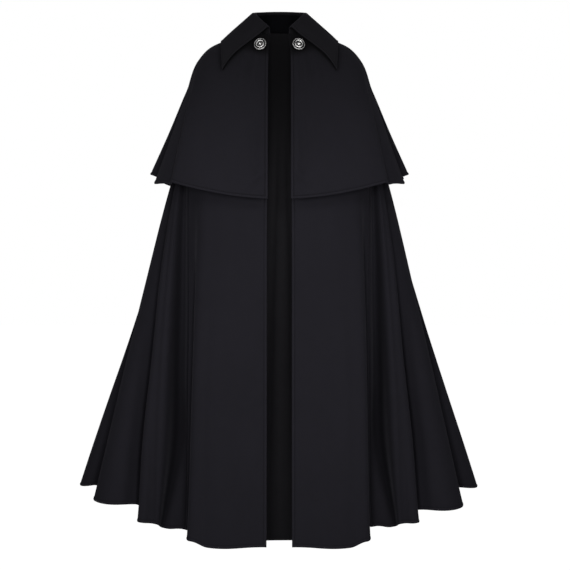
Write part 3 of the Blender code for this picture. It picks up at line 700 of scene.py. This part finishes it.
collar = {
    "standCut": ((0.40, 0.045), 0.0133),  # flat size and area
    "fallCut": ((0.72, 0.13), 0.0572),
    "length": 0.21,  # of the neck seam, from the front end to centre back
    "standHeight": 0.045,
    "standSteps": 13,
    "thickness": 0.0024,
    "stitch": 0.006,
    "band": 0.0004,
    "pull": 0.0003,
    "seamGap": 0.0003,  # from cloak to stand, and from stand to fall
    "rollRadius": 0.0045,
    "rollRise": 0.0015,  # how far the fall goes on upwards before it turns over
    "rollSteps": 14,
    "alongSpacing": 0.0045,
    "fallSpacing": 0.0042,
    # share from the front end to centre back, where the fall leaves the stand, where it ends, and
    # how far it arches up and sinks in between
    "sections": (
        (0.00, 0.0225, -0.0660, 0.0100, 0.1333, -0.0880, -0.0868, 0.0130, 0.013),
        (0.20, 0.0450, -0.0430, 0.0310, 0.1358, -0.0610, -0.0488, 0.0060, 0.008),
        (0.35, 0.0550, -0.0180, 0.0440, 0.1372, -0.0300, -0.0240, 0.0030, 0.004),
        (0.48, 0.0572, 0.0060, 0.0468, 0.1370, 0.0000, -0.0135, 0.0006, 0.000),
        (0.60, 0.0520, 0.0265, 0.0495, 0.1300, 0.0380, -0.0195, 0.0010, 0.000),
        (0.74, 0.0385, 0.0460, 0.0520, 0.1060, 0.0740, -0.0358, 0.0020, 0.000),
        (0.87, 0.0205, 0.0580, 0.0540, 0.0600, 0.0940, -0.0395, 0.0030, 0.000),
        (1.00, 0.0000, 0.0620, 0.0547, 0.0000, 0.1005, -0.0340, 0.0030, 0.000),
    ),
}
# painted shade: the collar's wool is a darker copy of the body's, as the collar gets less light
shadedCollarFinish = {**woolFinish, "dark": (0.0059, 0.0056, 0.0069), "light": (0.0096, 0.0091, 0.0113)}
# painted shade: a near-black copy of the wool for the collar's inner faces, for the shade inside the
# neck and under the fall
collarInsideShadeFinish = {
    **woolFinish,
    "dark": (0.0026, 0.0026, 0.0034),
    "light": (0.0042, 0.0041, 0.0055),
    "sheen": 0.01,
    "gloss": 0.035,
    "edgeHighlight": 1.0,
}


def collarGrids(settings):
    # The stand goes straight from the neck seam to the roll line. The fall goes on upwards, turns
    # over on an arc of rollRadius and runs to its edge, with t from 0 to 1: it arches up by
    # 2.6 arch t^1.5 (1 - t^3) and sinks back onto the capelet by 4 sink t (1 - t).
    length, height = settings["length"], settings["standHeight"]
    even = np.linspace(0, 1, math.ceil(length / settings["alongSpacing"]) + 1)
    shares = np.unique(np.round(np.concatenate([even, edgeSteps / length]), 6))
    half = smoothRows(settings["sections"], shares)
    mirrored = half * (1, -1, 1, 1, -1, 1, 1, 1, 1)  # the right half, at -X
    table = np.concatenate([mirrored, half[-2::-1]])
    allShares = np.concatenate([shares, shares[-2::-1]])
    rollLine, edgeLine, arch, sink = table[:, 1:4], table[:, 4:7], table[:, 7], table[:, 8]

    neckRing = np.array([cloak["rings"][0]], dtype=float)
    neck = halfRings(neckRing, allShares[None])[0][0]
    neck[:, 0] *= np.where(np.arange(len(neck)) < len(shares), right, left)
    neck[:, 2] += cloak["thickness"] / 2 + settings["seamGap"]
    upward = rollLine - neck
    upward /= np.linalg.norm(upward, axis=1)[:, None]
    standSteps = np.linspace(0, 1, settings["standSteps"])
    standSteps = np.concatenate([standSteps, seamSteps / height, 1 - seamSteps / height])
    standSteps = np.unique(np.round(standSteps, 6))[::-1, None, None]
    stand = neck[None] * (1 - standSteps) + rollLine[None] * standSteps

    start = rollLine + upward * settings["seamGap"]
    turnStart = start + upward * settings["rollRise"]
    outward = (edgeLine - rollLine) * (1, 1, 0)
    outward -= upward * np.sum(outward * upward, axis=1)[:, None]
    outward /= np.linalg.norm(outward, axis=1)[:, None]
    radius = settings["rollRadius"]
    centre = turnStart + outward * radius
    aside = np.sum((edgeLine - centre) * outward, axis=1)
    above = np.sum((edgeLine - centre) * upward, axis=1)
    turn = np.arctan2(above, -aside) % (2 * math.pi) - np.arccos(radius / np.hypot(aside, above))
    angle = np.linspace(0, 1, settings["rollSteps"])[:, None, None] * turn[None, :, None]
    roll = centre + radius * (upward * np.sin(angle) - outward * np.cos(angle))
    foot = start + upward * seamSteps[seamSteps < settings["rollRise"]][:, None, None]
    fallLength = np.linalg.norm(edgeLine - roll[-1], axis=1).mean()
    fallSteps = np.linspace(0, 1, math.ceil(fallLength / settings["fallSpacing"]) + 1)
    fallSteps = np.concatenate([fallSteps, 1 - edgeSteps / fallLength])
    fallSteps = np.unique(np.round(fallSteps, 6))[1:, None, None]
    fall = roll[-1] + (edgeLine - roll[-1]) * fallSteps
    t = fallSteps[..., 0]
    fall[..., 1] += sink * 4 * t * (1 - t)
    fall[..., 2] += arch * 2.6 * t**1.5 * (1 - t**3)
    return stand, np.concatenate([foot, roll, fall])


# the collar's outside, in the darker wool of painted shade
wool = woolMaterial("black_collar_wool_painted_shade", shadedCollarFinish, collar["stitch"])
# the collar's inner faces, near black as painted shade
collarInsideShade = woolMaterial("collar_inside_painted_shade", collarInsideShadeFinish, cloak["stitch"])
standPoints, fallPoints = collarGrids(collar)
stand = clothShell("collarStand", standPoints, collar, (), 0.5)
fall = clothShell("collarFall", fallPoints, collar, ("hem", "first", "last"), 0.5)
under = ["collar_stand", "cape_back"]
hangCloth(stand, "collar_stand", (wool, collarInsideShade), *collar["standCut"], ["cloak_back"], "stretched")
hangCloth(fall, "collar_fall", (wool, collarInsideShade), *collar["fallCut"], under, "folded")
print("collar done")

button = {
    "radius": 0.0152,
    "side": 0.0435,  # from the centre line
    "drop": 0.0265,  # below the neck seam
    "seatRows": 101,  # of points on the capelet among which its seat is looked for
    "seatColumns": 61,
    "start": 0.0011,  # from the middle of the capelet's cloth to the shank
    "shankLength": 0.0022,
    "shankRadius": 0.003,
    # from the button down to the cloth: shares of the shank's radius and length
    "shank": ((1.25, 1.0), (1.0, 0.8), (0.9, 0.4), (1.0, 0.15), (0.95, 0.0), (0.5, 0.0)),
    "shankWear": 0.1,
    "turns": 96,
    "steps": 90,
    "heightWeight": 60,  # of height against share of radius, in spacing the steps
    # from the middle of the face round to the back: share of radius, height above the back, wear
    "profile": (
        (0.00, 0.0070, 1.0),
        (0.10, 0.0068, 1.0),
        (0.20, 0.0061, 1.0),
        (0.27, 0.0047, 0.5),
        (0.33, 0.0034, 0.0),
        (0.40, 0.0033, 0.0),
        (0.46, 0.0046, 0.6),
        (0.53, 0.0053, 1.0),
        (0.60, 0.0053, 1.0),
        (0.67, 0.0044, 0.4),
        (0.73, 0.0029, 0.0),
        (0.79, 0.0027, 0.0),
        (0.84, 0.0034, 0.4),
        (0.90, 0.0036, 0.6),
        (0.96, 0.0031, 0.5),
        (1.00, 0.0020, 0.4),
        (0.985, 0.0008, 0.5),
        (0.94, 0.0001, 0.3),
        (0.60, 0.0000, 0.2),
        (0.28, 0.0000, 0.2),
    ),
}

pewterFinish = {
    "dark": (0.030, 0.029, 0.031),
    "bright": (0.78, 0.77, 0.76),
    "dents": (420, 4.0, 0.6),  # scale, detail and roughness of their noise
    "grain": (2600, 3.0, 0.6),
    "patchiness": 0.45,  # how much the dents change the wear
    "roughness": (0.55, 0.32),  # where it is dark and where it is bright
    "heights": (0.00012, 0.00003),  # of dents and grain
    "bump": 0.5,
}


def metalMaterial(name, settings):
    # Old pewter: worn bright on what stands up, dark and dull in the grooves, with small dents.
    # The tone is wear + patchiness * (dents - 0.5), eased between 0 and 1.
    material, tree, shader = newFinish(name)
    wear = addNode(tree, "ShaderNodeAttribute", attribute_name="wear").outputs["Fac"]
    solid = addNode(tree, "ShaderNodeTexCoord").outputs["Object"]
    dents, grain = (noiseNode(tree, solid, *settings[key]) for key in ("dents", "grain"))
    patches = mathNode(tree, "SUBTRACT", dents, 0.5)
    worn = mathNode(tree, "MULTIPLY_ADD", patches, settings["patchiness"], wear)
    tone = rangeNode(tree, worn, 0, 1)
    colour = colourNode(tree, tone, settings["dark"], settings["bright"])
    tree.links.new(colour, shader.inputs["Base Color"])
    rough = rangeNode(tree, tone, 0, 1, *settings["roughness"], kind="LINEAR")
    tree.links.new(rough, shader.inputs["Roughness"])
    setInputs(shader, {"Metallic": 1.0})
    height = sumNode(tree, (dents, grain), settings["heights"])
    bumpNode(tree, height, settings["bump"], shader)
    return material


def buttonSeat(settings):
    # Where the button sits on the capelet's front, and the way out of the cloth there: the point
    # nearest to side and drop in the upper half of the flat part, moved along the cloth onto them.
    downs = np.linspace(0, 0.5, settings["seatRows"])
    points = drapedGrid(capelet, downs, np.linspace(0, 1, settings["seatColumns"]))
    miss = (points[..., 0] + settings["side"]) ** 2 + (points[..., 2] + settings["drop"]) ** 2
    row, column = np.unravel_index(np.argmin(miss), miss.shape)
    outward = waysOut(points)[row, column]
    outward = outward * -np.sign(outward[1])
    place = points[row, column]
    aside = np.array([-settings["side"] - place[0], 0, -settings["drop"] - place[2]])
    return place + aside - np.array([0, aside @ outward / outward[1], 0]), outward


def turnedButton(name, node, side, settings, finish):
    # The profile turned round the button's axis: radius * out from it, and up along it.
    seat, outward = buttonSeat(settings)
    seat, outward = seat * (-side, 1, 1), outward * (-side, 1, 1)
    knots = np.array(settings["profile"])
    steps = np.diff(knots[:, :2] * (1, settings["heightWeight"]), axis=0)
    path = np.concatenate([[0], np.cumsum(np.linalg.norm(steps, axis=1))])
    table = np.column_stack([path / path[-1], knots])
    profile = smoothRows(table, np.linspace(0, 1, settings["steps"]))[:, 1:]
    start, long, thin = settings["start"], settings["shankLength"], settings["shankRadius"]
    out = np.clip(profile[:, 0], 0, 1) * settings["radius"]
    up = np.maximum(profile[:, 1], 0) + start + long
    shank = np.array(settings["shank"]) * (thin, long) + (0, start)
    out = np.concatenate([out[1:], shank[:, 0]])
    rise = np.concatenate([up[1:], shank[:, 1]])
    wear = np.concatenate([profile[1:, 2], np.full(len(shank), settings["shankWear"])])
    turns = settings["turns"]
    angle = np.linspace(0, 2 * math.pi, turns, endpoint=False)
    axisZ = outward / np.linalg.norm(outward)
    axisX = np.cross((0, 0, 1), axisZ)
    axisX /= np.linalg.norm(axisX)
    axisY = np.cross(axisZ, axisX)
    circle = axisX[None] * np.cos(angle)[:, None] + axisY[None] * np.sin(angle)[:, None]
    ring = seat + out[:, None, None] * circle[None] + (rise[:, None] * axisZ)[:, None]
    places = np.concatenate([ring.reshape(-1, 3), [seat + axisZ * up[0]], [seat + axisZ * start]])
    index = np.arange(len(out) * turns).reshape(len(out), turns)
    after = np.roll(index, -1, axis=1)
    faces = np.stack([index[:-1], index[1:], after[1:], after[:-1]], axis=2).reshape(-1, 4).tolist()
    top, bottom = len(places) - 2, len(places) - 1
    faces += [(top, a, b) for a, b in zip(index[0], after[0])]
    faces += [(b, a, bottom) for a, b in zip(index[-1], after[-1])]
    piece = smoothPiece(name, places, faces)
    piece.data.materials.append(finish)
    worn = np.repeat(np.clip(wear, 0, 1), turns)
    attribute = piece.data.attributes.new("wear", "FLOAT", "POINT")
    attribute.data.foreach_set("value", np.append(worn, [profile[0, 2], settings["shankWear"]]))
    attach(piece, "root")
    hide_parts(node)


pewter = metalMaterial("worn_pewter", pewterFinish)
turnedButton("buttonRight", "button_right", right, button, pewter)
turnedButton("buttonLeft", "button_left", left, button, pewter)
print("buttons done")

studio = {
    "floor": -1.50,
    "floorReach": 60.0,
    "aim": (0.0, 0.0, -0.55),  # what every lamp points at
    # name, place, width and height, power; a lamp off the middle has its twin on the other side
    "lamps": (
        ("keyLight", (0.0, -1.6, -0.53), (0.2, 1.0), 9.8),
        ("frontLights", (0.9, -1.3, -0.28), (0.5, 0.6), 5.6),
        ("highLights", (0.8, -1.0, 0.6), (0.6, 0.4), 3.4),
        ("lowLights", (1.5, -0.8, -1.30), (0.7, 0.6), 0.2),
        ("backLight", (0.0, 2.4, -0.4), (1.2, 1.2), 16),
    ),
    "ambient": 0.03,  # even light from all round
    "cameraDistance": 7.0,
    "cameraHeight": -0.58515,
    "cameraAside": 0.0129,
    "fieldWidth": 1.3395,  # width that the camera takes in at the origin
    "sensor": 36,  # mm
}


def areaLight(name, place, target, size, power):
    # A rectangular lamp that the camera doesn't see.
    light = bpy.data.lights.new(name, "AREA")
    light.shape = "RECTANGLE"
    light.size, light.size_y = size
    light.energy = power
    lamp = bpy.data.objects.new(name, light)
    lamp.location = place
    lamp.rotation_mode = "QUATERNION"
    lamp.rotation_quaternion = (Vector(target) - Vector(place)).to_track_quat("-Z", "Y")
    lamp.visible_camera = False
    bpy.context.scene.collection.objects.link(lamp)


for name, (x, y, z), size, power in studio["lamps"]:
    for side in (right, left) if x else (1,):
        areaLight(f"{name}{side}", (side * x, y, z), studio["aim"], size, power)

floorMesh = bpy.data.meshes.new("floor")
ends = (-studio["floorReach"], studio["floorReach"])
corners = [(x, y, studio["floor"]) for y in ends for x in ends]
floorMesh.from_pydata(corners, [], [(0, 1, 3, 2)])
floor = bpy.data.objects.new("floor", floorMesh)
bpy.context.scene.collection.objects.link(floor)
floorFinish, floorShader = newFinish("studio_floor")[::2]
setInputs(floorShader, {
    "Base Color": (0.80, 0.80, 0.80, 1),
    "Roughness": 0.9,
    "Specular IOR Level": 0.1,
    "Emission Color": (1, 1, 1, 1),
    "Emission Strength": 1.0,
})
floor.data.materials.append(floorFinish)
floor.visible_diffuse = floor.visible_glossy = False  # keeps its white off the cloth

world = bpy.data.worlds.new("studio")
bpy.context.scene.world = world
world.use_nodes = True
sky = world.node_tree
backdrop = sky.nodes["Background"]  # what the camera sees; the cloth gets the weak glow
setInputs(backdrop, {"Color": (1, 1, 1, 1), "Strength": 1.0})
glow = addNode(sky, "ShaderNodeBackground")
setInputs(glow, {"Color": (0.98, 0.99, 1.0, 1), "Strength": studio["ambient"]})
path = addNode(sky, "ShaderNodeLightPath")
mix = addNode(sky, "ShaderNodeMixShader")
sky.links.new(path.outputs["Is Camera Ray"], mix.inputs[0])
sky.links.new(glow.outputs[0], mix.inputs[1])
sky.links.new(backdrop.outputs[0], mix.inputs[2])
sky.links.new(mix.outputs[0], sky.nodes["World Output"].inputs["Surface"])

lens = bpy.data.cameras.new("camera")
lens.sensor_width = studio["sensor"]
lens.lens = studio["sensor"] * studio["cameraDistance"] / studio["fieldWidth"]
camera = bpy.data.objects.new("camera", lens)
camera.location = (studio["cameraAside"], -studio["cameraDistance"], studio["cameraHeight"])
camera.rotation_euler = (math.pi / 2, 0, 0)
bpy.context.scene.collection.objects.link(camera)
bpy.context.scene.camera = camera
bpy.context.scene.view_settings.view_transform = "Standard"
print("studio done")
